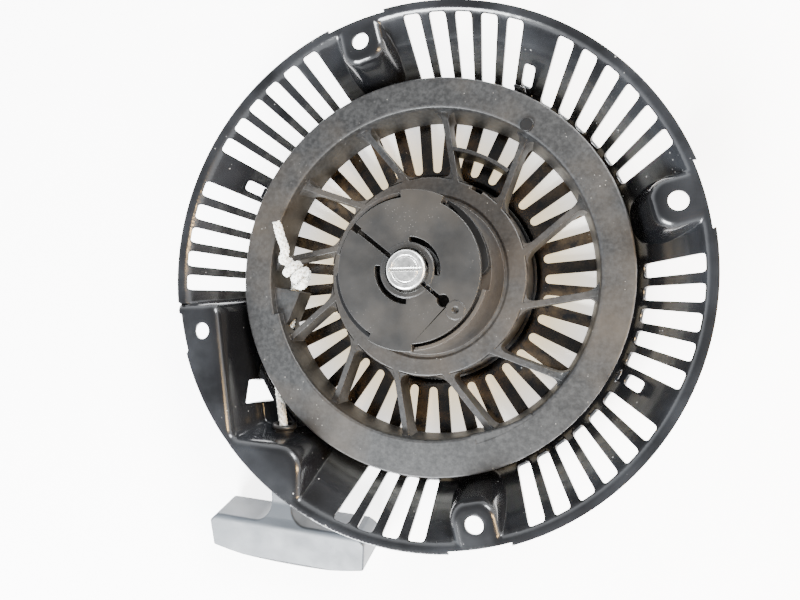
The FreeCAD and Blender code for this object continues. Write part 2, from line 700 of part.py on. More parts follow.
def friction_plate():
    """The plastic plate that throws the pawls out, split so that it grips the screw shoulder."""
    z0, z1 = PLATE_Z
    plate = cylinder(PLATE_R, z0, z1)
    for first, last in PLATE_TABS:
        plate = plate.fuse(sector(20, PLATE_TAB_R, first, last, z0, z1))
    plate = plate.fuse(ring(10.0, 12.4, z1 - 0.5, z1 + 0.5))
    boss = polar(28.6, 320.5)
    plate = plate.fuse(cylinder(4.2, z1 - 0.5, z1 + 0.35, boss))
    slit = prism([(8.0, -1.0), (40, -1.0), (40, 1.0), (8.0, 1.0)], z0 - 1, z1 + 3)
    slit_mouth = prism([(29.5, -1.7), (40, -1.7), (40, 1.7), (29.5, 1.7)], z0 - 1, z1 + 3)
    keyway = prism([(8.0, -0.9), (20, -0.9), (20, 0.9), (8.0, 0.9)], z0 - 1, z1 + 3)
    cutters = [
        cylinder(SHOULDER_R + 0.08, z0 - 1, z1 + 3),
        cylinder(10.2, 11.9, z1 + 3),
        turned(slit, 141.0), turned(slit_mouth, 141.0), turned(keyway, 319.5),
        cylinder(2.8, z0 - 1, z1 + 3, polar(21.6, 319.5)),
        sector(12.9, 15.3, -10, 86, z0 - 1, z1 + 3),
        sector(12.9, 15.3, 170, 268, z0 - 1, z1 + 3),
        cylinder(1.5, z1 - 1.0, z1 + 3, boss),
    ]
    for k in range(2):
        cutters += [turned(c, 180 * k) for c in cam_slot()]
    return one_solid(plate.cut(Part.makeCompound(cutters)))


# ---------------------------------------------------------------- handle

def grip_outline(margin=0.0):
    """The grip seen from the front: a bowed palm side, a flat finger side and a neck."""
    h = GRIP_HALF_LENGTH
    top = GRIP_TOP_Y
    n = NECK_HALF_WIDTH
    flare = 9.0
    k = flare * (1 - math.sqrt(0.5))
    left, right = NECK_X - n, NECK_X + n
    p = [
        V(-h, top - 4, 0), V(-h + 4, top, 0), V(left - flare, top, 0), V(left, top + flare, 0), V(left, NECK_TIP_Y, 0),
        V(right, NECK_TIP_Y, 0), V(right, top + flare, 0), V(right + flare, top, 0), V(h - 4, top, 0),
        V(h, top - 4, 0), V(h - 1, -8.0, 0), V(-h + 1, -8.0, 0),
    ]
    edges = [
        Part.LineSegment(p[0], p[1]).toShape(), Part.LineSegment(p[1], p[2]).toShape(),
        Part.Arc(p[2], V(left - k, top + k, 0), p[3]).toShape(),
        Part.LineSegment(p[3], p[4]).toShape(), Part.LineSegment(p[4], p[5]).toShape(),
        Part.LineSegment(p[5], p[6]).toShape(),
        Part.Arc(p[6], V(right + k, top + k, 0), p[7]).toShape(),
        Part.LineSegment(p[7], p[8]).toShape(), Part.LineSegment(p[8], p[9]).toShape(),
        Part.LineSegment(p[9], p[10]).toShape(),
        Part.Arc(p[10], V(0, -13.0, 0), p[11]).toShape(), Part.LineSegment(p[11], p[0]).toShape(),
    ]
    return Part.Face(Part.Wire(edges))


def grip_side():
    """The grip seen from its end, in the YZ plane: a rounded block that narrows into the neck."""
    d = GRIP_HALF_DEPTH
    n = NECK_HALF_WIDTH
    points = [
        (-16, -d + 3), (-11, -d), (8, -d), (13, -d + 2.2), (22, -n), (NECK_TIP_Y, -n + 0.6),
        (NECK_TIP_Y, n - 0.6), (22, n), (13, d - 2.2), (8, d), (-11, d), (-16, d - 3),
    ]
    corners = [V(-60, y, z) for y, z in points]
    return Part.Face(Part.makePolygon(corners + corners[:1])).extrude(V(120, 0, 0))


def handle_grip():
    """The T-shaped grip with the rope bore and the pocket for the insert and the knot."""
    front = grip_outline().extrude(V(0, 0, 2 * GRIP_HALF_DEPTH))
    front.translate(V(0, 0, -GRIP_HALF_DEPTH))
    body = front.common(grip_side())
    axis = V(0, 1, 0)
    bore = Part.makeCylinder(ROPE_R + 0.4, NECK_TIP_Y + 30, V(NECK_X, -20, 0), axis)
    pocket = Part.makeCylinder(7.2, 20, V(NECK_X, -20, 0), axis)
    seat = Part.makeCylinder(6.0, 8, V(NECK_X, -1, 0), axis)
    body = one_solid(body.cut(bore.fuse([pocket, seat])))
    body.Placement = handle_place()
    return body


def handle_insert():
    """The pressed metal cup in the grip that the handle knot pulls against."""
    axis = V(0, 1, 0)
    cup = Part.makeCylinder(5.95, 3.0, V(NECK_X, 3.9, 0), axis)
    flange = Part.makeCylinder(7.1, 1.2, V(NECK_X, -1.2, 0), axis)
    barrel = Part.makeCylinder(5.95, 5.0, V(NECK_X, -1.0, 0), axis)
    inside = Part.makeCylinder(5.0, 7.3, V(NECK_X, -2.5, 0), axis)
    hole = Part.makeCylinder(ROPE_R + 0.2, 30, V(NECK_X, -10, 0), axis)
    body = one_solid(cup.fuse([flange, barrel]).cut(inside.fuse(hole)))
    body.Placement = handle_place()
    return body


def handle_rope():
    """The end of the rope inside the grip, from the neck to its knot."""
    body = Part.makeCylinder(ROPE_R, NECK_TIP_Y - 5.0, V(NECK_X, 5.0, 0), V(0, 1, 0))
    body.Placement = handle_place()
    return body


def handle_knot():
    """The knot in the rope's end, inside the insert."""
    body = Part.makeSphere(4.8, V(NECK_X, -0.1, 0))
    stub = Part.makeCylinder(ROPE_R, 6.5, V(NECK_X, -8.6, 0), V(0, 1, 0))
    body = one_solid(body.fuse(stub))
    body.Placement = handle_place()
    return body


def build():
    """Writes every sub-part to its own STEP file."""
    os.makedirs("parts", exist_ok=True)
    nodes = {
        "housing": housing(),
        "rope_eyelet": rope_eyelet(),
        "centre_post": centre_post(),
        "centre_screw": centre_screw(),
        "screw_washer": screw_washer(),
        "thrust_washer": thrust_washer(),
        "friction_spring": friction_spring(),
        "rewind_spring": rewind_spring(),
        "pulley": pulley(),
        "hub_bushing": hub_bushing(),
        "spring_keeper": spring_keeper(),
        "pulley_pin": pulley_pin(),
        "rope_winding": rope_winding(),
        "rope_knot": rope_knot(),
        "rope_run": rope_run(),
        "pawl_1": pawl(),
        "pawl_2": turned(pawl(), 180),
        "friction_plate": friction_plate(),
        "handle_grip": handle_grip(),
        "handle_insert": handle_insert(),
        "handle_rope": handle_rope(),
        "handle_knot": handle_knot(),
    }
    for name, shape in nodes.items():
        shape.exportStep(os.path.join("parts", name + ".step"))
        box = shape.BoundBox
        print(name, "solids", len(shape.Solids), "valid", shape.isValid(), "volume %.0f" % shape.Volume,
              "z %.1f..%.1f" % (box.ZMin, box.ZMax))


build()
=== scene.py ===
"""Looks of the recoil starter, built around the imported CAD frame. Metres, same frame as the CAD."""
import math

import bpy
from mathutils import Matrix, Vector
from mathutils.geometry import delaunay_2d_cdt


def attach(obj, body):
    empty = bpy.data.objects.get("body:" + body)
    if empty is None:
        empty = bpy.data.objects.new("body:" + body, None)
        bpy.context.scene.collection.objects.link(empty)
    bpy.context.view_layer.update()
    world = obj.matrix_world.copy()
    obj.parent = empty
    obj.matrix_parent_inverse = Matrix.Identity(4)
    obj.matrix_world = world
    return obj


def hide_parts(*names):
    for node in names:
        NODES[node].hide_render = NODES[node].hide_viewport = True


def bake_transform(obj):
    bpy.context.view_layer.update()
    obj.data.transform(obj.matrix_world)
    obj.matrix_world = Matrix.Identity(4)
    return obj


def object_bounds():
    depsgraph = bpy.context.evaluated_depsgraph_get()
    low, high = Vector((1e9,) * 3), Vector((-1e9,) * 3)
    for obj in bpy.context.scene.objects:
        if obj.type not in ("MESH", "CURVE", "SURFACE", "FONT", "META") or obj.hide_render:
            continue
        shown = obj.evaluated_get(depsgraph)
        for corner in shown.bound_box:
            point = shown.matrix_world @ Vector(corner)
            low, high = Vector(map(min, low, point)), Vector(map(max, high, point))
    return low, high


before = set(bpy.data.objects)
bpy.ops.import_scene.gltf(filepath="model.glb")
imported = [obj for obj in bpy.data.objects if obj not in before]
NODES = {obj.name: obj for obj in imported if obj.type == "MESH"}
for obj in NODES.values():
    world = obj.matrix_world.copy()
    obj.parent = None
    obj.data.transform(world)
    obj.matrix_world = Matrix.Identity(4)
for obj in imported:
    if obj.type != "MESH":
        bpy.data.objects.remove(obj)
CAD_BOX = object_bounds()
MM = 0.001

# ---- rope ----
BRAID_STEP = 0.45 * MM
BRAID_LAY = 14.0 * MM
BRAID_STRANDS = 4
BRAID_R = 1.45 * MM
BRAID_WEAVE = 0.30 * MM
STRAND_R = 0.76 * MM
BRAID_CORE_R = 1.35 * MM
CORE_SIDES = 12
STRAND_SIDES = 8
FRAY_YARNS = 9
FRAY_YARN_R = 0.42 * MM
KNOT_TURNS = 2.6
KNOT_R = 3.1 * MM
KNOT_START_TURN = 0.45
KNOT_STEPS = 22

# ---- housing, in millimetres as drawn; the same sheet as the CAD housing, with soft blends ----
SHEET = 1.6
RIM_R = 130.0
TAB_RIM_R = 128.6
FLOOR_Z = -43.0
CUP_Z = -46.0
CUP_R = (53.4, 55.8)
WALL_TOP_R = 126.0
WALL_SLOPE = 0.574
FLOOR_BLEND = 6.0
RIM_BLEND = 3.2
TAB_SPANS = ((7, 20), (97, 110), (277, 290), (188.4, 197.4))
BOLT_R = 118.15
BOLT_HOLE_R = 4.25
BOLT_ANGLE = 13.5
PAD_HALF_WIDTH = 11.6
PAD_INNER_R = 107.0
PAD_HALF_LENGTH = 22.0
PAD_CORNER = 9.0
SHOULDER = 4.6
SIDE_STEEPNESS = 9.3
PAD_REACH = 12.0
POCKET_Z = -31.0
POCKET_LIMIT = (-62.0, -13.2)
CORNER_STRIP = (-106.5, -13.0, 0.132)
CORNER_TRIANGLE = (-82.0, -97.4, 0.076, -58.6)
WINDOW = ((-98.1, -66.8), (-99.2, -54.3), (-96.0, -54.8), (-89.3, -66.5))
SLOT_STARTS = (24.7, 114.6, 294.4)
SLOT_PITCH = 5.85
SLOT_R = (104.3, 125.2)
SLOT_ANGLE = 3.7
SLOT_CORNER = 1.7
SECOND_SLOTS = 41.0
LAST_SLOTS_START = 250.6
GUIDE_SLOT = (36.3, 107.2, 114.3, 3.0)
GUIDE_ANGLE = 37.8
FLOOR_SLOT_COUNT = 36
FLOOR_SLOT_TURN = -1.2
FLOOR_SLOT_R = (59.9, 92.0)
FLOOR_SLOT_HALF_WIDTHS = (2.3, 4.9)
CONTOUR_STEP = 1.3
CONTOUR_LIMIT = 400
FAR = 99.0
CIRCLE_POINTS = 28

# ---- pulley, in millimetres ----
SPOKE_COUNT = 12
SPOKE_FIRST_ANGLE = 23.6
SPOKE_SWEEP = 14.0
SPOKE_OUTER_R = 84.8
SPOKE_INNER_R = 46.5
SPOKE_HALF = 1.5
HUB_FLANGE_R = 50.3
RING_WALL_R = 83.7
WEB_Z = (-35.8, -21.1)
FILL_REACH = 6.5
TAPER_ANGLES = (286.6, 308.0)
TAPER_OUTER_R = 85.2
TAPER_R = (80.75, 83.6)
TAPER_Z = (-34.0, -16.22)
TAPER_STEPS = 12

# ---- camera, worked out from the rim's ellipse and the size of the near and far circles ----
CAMERA_PLACE = Vector((75.59, -25.51, 280.53)) * MM
CAMERA_TILT = math.radians(-2.48)
CAMERA_TURN = math.radians(-16.43)
CAMERA_LENS = 27.86
CAMERA_SENSOR = 36.0

# ---- light ----
HORIZON_STRENGTH = 4.2
ZENITH_STRENGTH = 0.5
GROUND_GLOW = 4.5
GROUND_HALF = 12.0
GROUND_GAP = 0.2 * MM
COOL = (0.95, 0.98, 1.0)
WARM = (1.0, 0.66, 0.30)


# ---------------------------------------------------------------- materials

class Nodes:
    """A small helper that adds shader nodes to one material and links them."""

    def __init__(self, name):
        self.material = bpy.data.materials.new(name)
        self.material.use_nodes = True
        self.tree = self.material.node_tree
        self.shader = self.tree.nodes["Principled BSDF"]
        self.where = self.tree.nodes.new("ShaderNodeTexCoord").outputs["Object"]

    def link(self, source, target):
        self.tree.links.new(source, target)

    def noise(self, scale, detail=4.0):
        node = self.tree.nodes.new("ShaderNodeTexNoise")
        node.inputs["Scale"].default_value = scale
        node.inputs["Detail"].default_value = detail
        node.inputs["Roughness"].default_value = 0.55
        self.link(self.where, node.inputs["Vector"])
        return node.outputs["Fac"]

    def cells(self, scale):
        node = self.tree.nodes.new("ShaderNodeTexVoronoi")
        node.inputs["Scale"].default_value = scale
        self.link(self.where, node.inputs["Vector"])
        return node.outputs["Distance"]

    def span(self, value, low, high, to_low=0.0, to_high=1.0):
        node = self.tree.nodes.new("ShaderNodeMapRange")
        node.inputs["From Min"].default_value = low
        node.inputs["From Max"].default_value = high
        node.inputs["To Min"].default_value = to_low
        node.inputs["To Max"].default_value = to_high
        self.link(value, node.inputs["Value"])
        return node.outputs["Result"]

    def radius(self):
        """Distance from the pulley's axis."""
        flat = self.tree.nodes.new("ShaderNodeVectorMath")
        flat.operation = "MULTIPLY"
        flat.inputs[1].default_value = (1.0, 1.0, 0.0)
        self.link(self.where, flat.inputs[0])
        length = self.tree.nodes.new("ShaderNodeVectorMath")
        length.operation = "LENGTH"
        self.link(flat.outputs["Vector"], length.inputs[0])
        return length.outputs["Value"]

    def times(self, a, b):
        node = self.tree.nodes.new("ShaderNodeMath")
        node.operation = "MULTIPLY"
        self.link(a, node.inputs[0])
        self.link(b, node.inputs[1])
        return node.outputs["Value"]

    def mixed(self, share, a, b):
        node = self.tree.nodes.new("ShaderNodeMix")
        node.data_type = "RGBA"
        self.link(share, node.inputs["Factor"])
        for colour, socket in ((a, node.inputs["A"]), (b, node.inputs["B"])):
            if isinstance(colour, tuple):
                socket.default_value = (*colour, 1.0)
            else:
                self.link(colour, socket)
        return node.outputs["Result"]

    def bump(self, height, strength, distance):
        node = self.tree.nodes.new("ShaderNodeBump")
        node.inputs["Strength"].default_value = strength
        node.inputs["Distance"].default_value = distance
        self.link(height, node.inputs["Height"])
        self.link(node.outputs["Normal"], self.shader.inputs["Normal"])

    def set(self, **values):
        for name, value in values.items():
            self.shader.inputs[name.replace("_", " ")].default_value = value

    def colour(self, output):
        self.link(output, self.shader.inputs["Base Color"])

    def rough(self, output):
        self.link(output, self.shader.inputs["Roughness"])


def dust(n, base, dust_colour, scale, size):
    """Sparse light specks over a base colour; most specks are hidden by a slow noise."""
    specks = n.span(n.cells(scale), size, size * 0.4)
    patches = n.span(n.noise(60.0, 2.0), 0.56, 0.66)
    return n.mixed(n.times(specks, patches), base, dust_colour)


def black_paint():
    n = Nodes("black_paint")
    cloudy = n.mixed(n.span(n.noise(22.0), 0.35, 0.7), (0.0028, 0.0030, 0.0036), (0.0062, 0.0064, 0.0072))
    inner = n.times(n.span(n.radius(), 0.098, 0.088), n.span(n.radius(), 0.054, 0.058))
    brown = n.times(inner, n.span(n.noise(170.0, 7.0), 0.34, 0.62))
    cloudy = n.mixed(brown, cloudy, (0.046, 0.031, 0.017))
    # lighter blue-grey patches on the outer flange: partly a dusty haze on the paint, partly a painted
    # blue-grey sheen
    flange_haze_and_sheen = n.times(n.span(n.noise(30.0, 5.0), 0.40, 0.70, 0.0, 0.8), n.span(n.radius(), 0.110, 0.122))
    cloudy = n.mixed(flange_haze_and_sheen, cloudy, (0.019, 0.0205, 0.0235))
    n.colour(dust(n, cloudy, (0.30, 0.30, 0.29), 270.0, 0.13))
    n.rough(n.span(n.noise(38.0, 6.0), 0.3, 0.75, 0.15, 0.30))
    n.bump(n.noise(260.0, 3.0), 0.05, 0.0008)
    n.set(Coat_Weight=0.3, Coat_Roughness=0.10, IOR=1.42)
    return n.material


def ring_plastic():
    n = Nodes("ring_plastic")
    speckle = n.span(n.noise(520.0, 8.0), 0.38, 0.66)
    base = n.mixed(speckle, (0.0058, 0.0060, 0.0064), (0.0190, 0.0194, 0.0200))
    hub = n.times(n.span(n.radius(), 0.066, 0.050), n.span(n.noise(40.0, 5.0), 0.34, 0.66, 0.0, 0.65))
    base = n.mixed(hub, base, (0.027, 0.0200, 0.0135))
    # large lighter warm-brown patches, spread at random
    warm_patches = n.span(n.noise(14.0, 5.0), 0.48, 0.66, 0.0, 0.75)
    base = n.mixed(warm_patches, base, (0.033, 0.0262, 0.0190))
    n.colour(dust(n, base, (0.26, 0.25, 0.23), 420.0, 0.13))
    n.rough(n.span(n.noise(90.0, 5.0), 0.3, 0.75, 0.42, 0.58))
    n.bump(n.noise(900.0, 2.0), 0.10, 0.0004)
    n.set(IOR=1.48)
    return n.material


def plate_plastic():
    n = Nodes("plate_plastic")
    mottle = n.span(n.noise(90.0, 5.0), 0.35, 0.7)
    base = n.mixed(mottle, (0.0075, 0.0074, 0.0073), (0.0150, 0.0142, 0.0134))
    base = n.mixed(n.span(n.noise(24.0, 6.0), 0.46, 0.70, 0.0, 0.7), base, (0.024, 0.0200, 0.0155))
    n.colour(dust(n, base, (0.16, 0.15, 0.14), 900.0, 0.13))
    n.rough(n.span(n.noise(60.0, 5.0), 0.3, 0.75, 0.36, 0.52))
    n.bump(n.noise(700.0, 2.0), 0.06, 0.0004)
    return n.material


def pawl_plastic():
    n = Nodes("pawl_plastic")
    n.colour(n.mixed(n.span(n.noise(80.0), 0.35, 0.7), (0.0020, 0.0020, 0.0022), (0.0040, 0.0040, 0.0042)))
    n.set(IOR=1.35)
    n.rough(n.span(n.noise(70.0), 0.3, 0.7, 0.35, 0.5))
    return n.material


def grip_plastic():
    n = Nodes("grip_plastic")
    base = n.mixed(n.span(n.noise(30.0, 5.0), 0.3, 0.7), (0.026, 0.032, 0.040), (0.034, 0.041, 0.050))
    n.colour(dust(n, base, (0.25, 0.26, 0.26), 900.0, 0.09))
    n.rough(n.span(n.noise(80.0, 5.0), 0.3, 0.75, 0.40, 0.54))
    n.bump(n.noise(1300.0, 2.0), 0.12, 0.0003)
    return n.material


def rope_fibre():
    n = Nodes("rope_fibre")
    base = n.mixed(n.span(n.noise(240.0, 4.0), 0.3, 0.7), (0.66, 0.64, 0.58), (0.86, 0.85, 0.80))
    n.colour(n.mixed(n.span(n.noise(45.0, 2.0), 0.6, 0.75), base, (0.46, 0.43, 0.36)))
    n.rough(n.span(n.noise(300.0), 0.3, 0.7, 0.6, 0.85))
    n.bump(n.noise(2600.0, 3.0), 0.5, 0.0004)
    n.set(Sheen_Weight=0.25)
    return n.material


def zinc():
    n = Nodes("zinc")
    n.colour(n.mixed(n.span(n.noise(160.0, 5.0), 0.35, 0.7), (0.74, 0.74, 0.72), (0.92, 0.92, 0.89)))
    n.rough(n.span(n.noise(400.0, 4.0), 0.3, 0.75, 0.26, 0.46))
    n.bump(n.noise(900.0, 3.0), 0.12, 0.0003)
    n.set(Metallic=1.0)
    return n.material


def dark_steel():
    n = Nodes("dark_steel")
    n.colour(n.mixed(n.span(n.noise(60.0, 5.0), 0.35, 0.7), (0.018, 0.017, 0.016), (0.045, 0.043, 0.041)))
    n.rough(n.span(n.noise(120.0, 4.0), 0.3, 0.75, 0.35, 0.55))
    n.set(Metallic=0.7)
    return n.material


def bright_steel():
    n = Nodes("bright_steel")
    n.colour(n.mixed(n.span(n.noise(90.0, 5.0), 0.35, 0.7), (0.45, 0.45, 0.46), (0.62, 0.62, 0.63)))
    n.rough(n.span(n.noise(300.0, 4.0), 0.3, 0.75, 0.28, 0.45))
    n.set(Metallic=1.0)
    return n.material


def spring_steel():
    n = Nodes("spring_steel")
    n.colour(n.mixed(n.span(n.noise(90.0, 5.0), 0.35, 0.7), (0.22, 0.23, 0.26), (0.36, 0.36, 0.38)))
    n.rough(n.span(n.noise(200.0, 4.0), 0.3, 0.75, 0.25, 0.4))
    n.set(Metallic=1.0)
    return n.material


def bronze():
    n = Nodes("bronze")
    n.colour(n.mixed(n.span(n.noise(90.0, 5.0), 0.35, 0.7), (0.42, 0.30, 0.14), (0.56, 0.42, 0.22)))
    n.rough(n.span(n.noise(200.0, 4.0), 0.3, 0.75, 0.3, 0.45))
    n.set(Metallic=1.0)
    return n.material


def ground():
    n = Nodes("ground")
    white = n.mixed(n.span(n.noise(6.0, 3.0), 0.3, 0.7), (0.90, 0.90, 0.91), (0.93, 0.93, 0.94))
    # cream under the housing, white further out: painted warm shade where the housing shades the ground
    shaded_cream = n.mixed(n.span(n.noise(9.0, 3.0), 0.3, 0.7), (0.62, 0.54, 0.40), (0.74, 0.68, 0.56))
    n.colour(n.mixed(n.span(n.radius(), 0.094, 0.070), white, shaded_cream))
    # the ground glows though it is no lamp: white far out, and a painted cream-to-grey glow under the
    # housing that lifts its shadow
    shadow_glow_tint = n.mixed(n.span(n.radius(), 0.090, 0.062), (0.31, 0.31, 0.32), (0.33, 0.272, 0.175))
    painted_glow = n.mixed(n.span(n.radius(), 0.118, 0.094), (1.0, 0.99, 0.98), shadow_glow_tint)
    n.link(painted_glow, n.shader.inputs["Emission Color"])
    n.set(Emission_Strength=GROUND_GLOW)
    n.rough(n.span(n.noise(50.0), 0.3, 0.7, 0.75, 0.9))
    return n.material


# ---------------------------------------------------------------- shapes

def at(x, y, z):
    """A point given in millimetres."""
    return Vector((x, y, z)) * MM


def eased(obj, width):
    """Rounds an object's sharp edges a little and keeps flat faces flat in the shading."""
    weld = obj.modifiers.new("weld", "WELD")
    weld.merge_threshold = 0.01 * MM
    flat = obj.modifiers.new("flat", "DECIMATE")
    flat.decimate_type = "DISSOLVE"
    flat.angle_limit = math.radians(0.8)
    bevel = obj.modifiers.new("ease", "BEVEL")
    bevel.width = width
    bevel.segments = 2
    bevel.limit_method = "ANGLE"
    bevel.angle_limit = math.radians(32)
    bevel.use_clamp_overlap = False
    bevel.miter_outer = "MITER_ARC"
    normals = obj.modifiers.new("normals", "WEIGHTED_NORMAL")
    normals.keep_sharp = False
    normals.weight = 90


def dress(name, material, width=0.0):
    """Gives a CAD node its material and, where asked, eased edges."""
    obj = NODES[name]
    obj.data.materials.clear()
    obj.data.materials.append(material)
    if width:
        eased(obj, width)


def mesh_object(name, vertices, faces, material):
    """A new smooth-shaded mesh object."""
    mesh = bpy.data.meshes.new(name)
    mesh.from_pydata(vertices, [], faces)
    mesh.polygons.foreach_set("use_smooth", [True] * len(mesh.polygons))
    mesh.materials.append(material)
    mesh.update()
    obj = bpy.data.objects.new(name, mesh)
    bpy.context.scene.collection.objects.link(obj)
    return obj


def smooth_line(points, step):
    """Evenly spaced points on a smooth line through given ones."""
    fine = []
    ends = [points[0] * 2 - points[1]] + list(points) + [points[-1] * 2 - points[-2]]
    for before, a, b, after in zip(ends, ends[1:], ends[2:], ends[3:]):
        count = max(2, int((b - a).length / (step * 0.5)))
        for k in range(count):
            t = k / count
            bend = (2 * before - 5 * a + 4 * b - after) * t * t + (3 * a - before - 3 * b + after) * t ** 3
            fine.append(a + ((b - before) * t + bend) * 0.5)
    fine.append(points[-1].copy())
    line = [fine[0]]
    travelled = 0.0
    for a, b in zip(fine, fine[1:]):
        travelled += (b - a).length
        if travelled >= step:
            line.append(b)
            travelled = 0.0
    return line


def crevices(name):
    """The shaded heart of the rope, seen between the strands."""
    n = Nodes(name)
    n.colour(n.mixed(n.span(n.noise(300.0, 3.0), 0.3, 0.7), (0.20, 0.18, 0.15), (0.34, 0.32, 0.27)))
    n.rough(n.span(n.noise(300.0), 0.3, 0.7, 0.8, 0.95))
    return n.material


def tube(vertices, faces, path, radius, sides):
    """Adds a round tube with closed ends along a path to a list of vertices and faces."""
    base = len(vertices)
    normal = (path[1] - path[0]).orthogonal().normalized()
    for k, here in enumerate(path):
        ahead = (path[min(k + 1, len(path) - 1)] - path[max(k - 1, 0)]).normalized()
        normal = (normal - ahead * normal.dot(ahead)).normalized()
        side = ahead.cross(normal)
        for s in range(sides):
            a = s / sides * math.tau
            vertices.append(here + normal * (radius * math.cos(a)) + side * (radius * math.sin(a)))
    for k in range(len(path) - 1):
        low, high = base + k * sides, base + (k + 1) * sides
        for s in range(sides):
            t = (s + 1) % sides
            faces.append((low + s, low + t, high + t, high + s))
    faces.append(tuple(base + s for s in reversed(range(sides))))
    faces.append(tuple(base + (len(path) - 1) * sides + s for s in range(sides)))


def braid(name, points, material, frayed=False):
    """A plaited rope along a line: four strands each way round a core, passing over and under in turn."""
    line = smooth_line(points, BRAID_STEP)
    vertices, faces = [], []
    tube(vertices, faces, line[::3] + line[-1:], BRAID_CORE_R, CORE_SIDES)
    core_faces = len(faces)
    normal = (line[1] - line[0]).orthogonal().normalized()
    rests = []
    travelled = 0.0
    for k, here in enumerate(line):
        ahead = (line[min(k + 1, len(line) - 1)] - line[max(k - 1, 0)]).normalized()
        normal = (normal - ahead * normal.dot(ahead)).normalized()
        if k:
            travelled += (here - line[k - 1]).length
        rests.append((here, normal.copy(), ahead.cross(normal), travelled / BRAID_LAY * math.tau))
    for way in (1, -1):
        for strand in range(BRAID_STRANDS):
            path = []
            for here, across, side, phase in rests:
                a = strand / BRAID_STRANDS * math.tau + way * phase
                r = BRAID_R + way * BRAID_WEAVE * math.cos(BRAID_STRANDS * phase)
                path.append(here + across * (r * math.cos(a)) + side * (r * math.sin(a)))
            tube(vertices, faces, path, STRAND_R, STRAND_SIDES)
    if frayed:
        fray(vertices, faces, line)
    rope = mesh_object(name, vertices, faces, material)
    rope.data.materials.append(crevices(name + "_core"))
    rope.data.polygons.foreach_set("material_index", [1] * core_faces + [0] * (len(faces) - core_faces))
    return rope


def fray(vertices, faces, line):
    """Short loose yarns at the cut end."""
    tip = line[-1]
    out = (line[-1] - line[-4]).normalized()
    across = out.orthogonal().normalized()
    side = out.cross(across)
    for k in range(FRAY_YARNS):
        a = k * 2.4
        lean = across * math.cos(a) + side * math.sin(a)
        reach = (1.5 + 0.9 * math.sin(k * 1.9)) * MM
        root = tip + lean * 1.3 * MM - out * 0.4 * MM
        path = [root, root + out * reach * 0.5 + lean * 0.15 * MM, root + out * reach + lean * 0.6 * MM]
        tube(vertices, faces, path, FRAY_YARN_R, 6)


# ---------------------------------------------------------------- housing

def soft_max(a, b, k):
    """The larger of two values, with a round transition k wide."""
    if k <= 1e-6:
        return max(a, b)
    h = max(k - abs(a - b), 0.0) / k
    return max(a, b) + h * h * k * 0.25


def soft_min(a, b, k):
    return -soft_max(-a, -b, k)


def bowl_height(x, y):
    """Upper face of the plain bowl: cup, floor, conical wall and rim."""
    r = math.hypot(x, y)
    wall = (r - WALL_TOP_R) / WALL_SLOPE
    z = soft_max(FLOOR_Z, wall, FLOOR_BLEND)
    if x < POCKET_LIMIT[0] and y < POCKET_LIMIT[1]:
        z = soft_min(z, POCKET_Z, 4.0)
    z = soft_min(z, 0.0, RIM_BLEND)
    share = min(max((r - CUP_R[0]) / (CUP_R[1] - CUP_R[0]), 0.0), 1.0)
    share = share * share * (3 - 2 * share)
    if r < CUP_R[1]:
        z = CUP_Z + (FLOOR_Z - CUP_Z) * share
    return z


def bolt_pad_distance(x, y, angle):
    """Distance to the outline of a bolt pad, negative on the pad."""
    c, s = math.cos(math.radians(angle)), math.sin(math.radians(angle))
    u, v = x * c + y * s, -x * s + y * c
    if u < 0:
        return FAR
    du = abs(u - PAD_INNER_R - PAD_HALF_LENGTH) - (PAD_HALF_LENGTH - PAD_CORNER)
    dv = abs(v) - (PAD_HALF_WIDTH - PAD_CORNER)
    outside = math.hypot(max(du, 0.0), max(dv, 0.0))
    return outside + min(max(du, dv), 0.0) - PAD_CORNER


def outlet_pad_distance(x, y):
    """Distance to the outline of the wide corner: a strip on the left and a triangle below the pocket."""
    if x > -30 or y > 30:
        return FAR
    strip_x, strip_y, strip_lean = CORNER_STRIP
    strip = soft_max(x - strip_x + (y - strip_y) * strip_lean, y - strip_y, 5.0)
    top_y, from_x, top_lean, end_x = CORNER_TRIANGLE
    below = soft_max(y - top_y + (x - from_x) * top_lean, x - end_x, 13.0)
    return soft_min(strip, below, 4.0)


def raised(distance):
    """Height of a pad at a distance from its outline: flat, a round shoulder, then a steep side."""
    if distance <= -SHOULDER:
        return 0.0
    lean = SIDE_STEEPNESS / math.hypot(1.0, SIDE_STEEPNESS)
    turn_end = SHOULDER * (lean - 1.0)
    if distance < turn_end:
        return math.sqrt(SHOULDER ** 2 - (distance + SHOULDER) ** 2) - SHOULDER
    low = SHOULDER * (math.sqrt(1 - lean ** 2) - 1.0)
    return low - SIDE_STEEPNESS * (distance - turn_end)


def pad_distances(x, y):
    """Distances to the outlines of the three bolt pads and the wide corner."""
    pads = [bolt_pad_distance(x, y, BOLT_ANGLE + 90 * k) for k in (0, 1, 3)]
    return pads + [outlet_pad_distance(x, y)]


def sheet_height(x, y):
    """Upper face of the whole pressed sheet."""
    z = bowl_height(x, y)
    for distance in pad_distances(x, y):
        if distance < PAD_REACH:
            pad = raised(distance)
            z = soft_max(z, pad, min(9.0, -0.55 * pad))
    return min(z, 0.0)


def rim_radius(angle):
    """Outer edge of the rim, drawn in a little beside the bolt holes."""
    a = math.degrees(angle) % 360
    for low, high in TAB_SPANS:
        if low < a < high:
            return TAB_RIM_R
    return RIM_R


def turn_point(x, y, degrees):
    """A point turned about the pulley's axis."""
    a = math.radians(degrees)
    return (x * math.cos(a) - y * math.sin(a), x * math.sin(a) + y * math.cos(a))


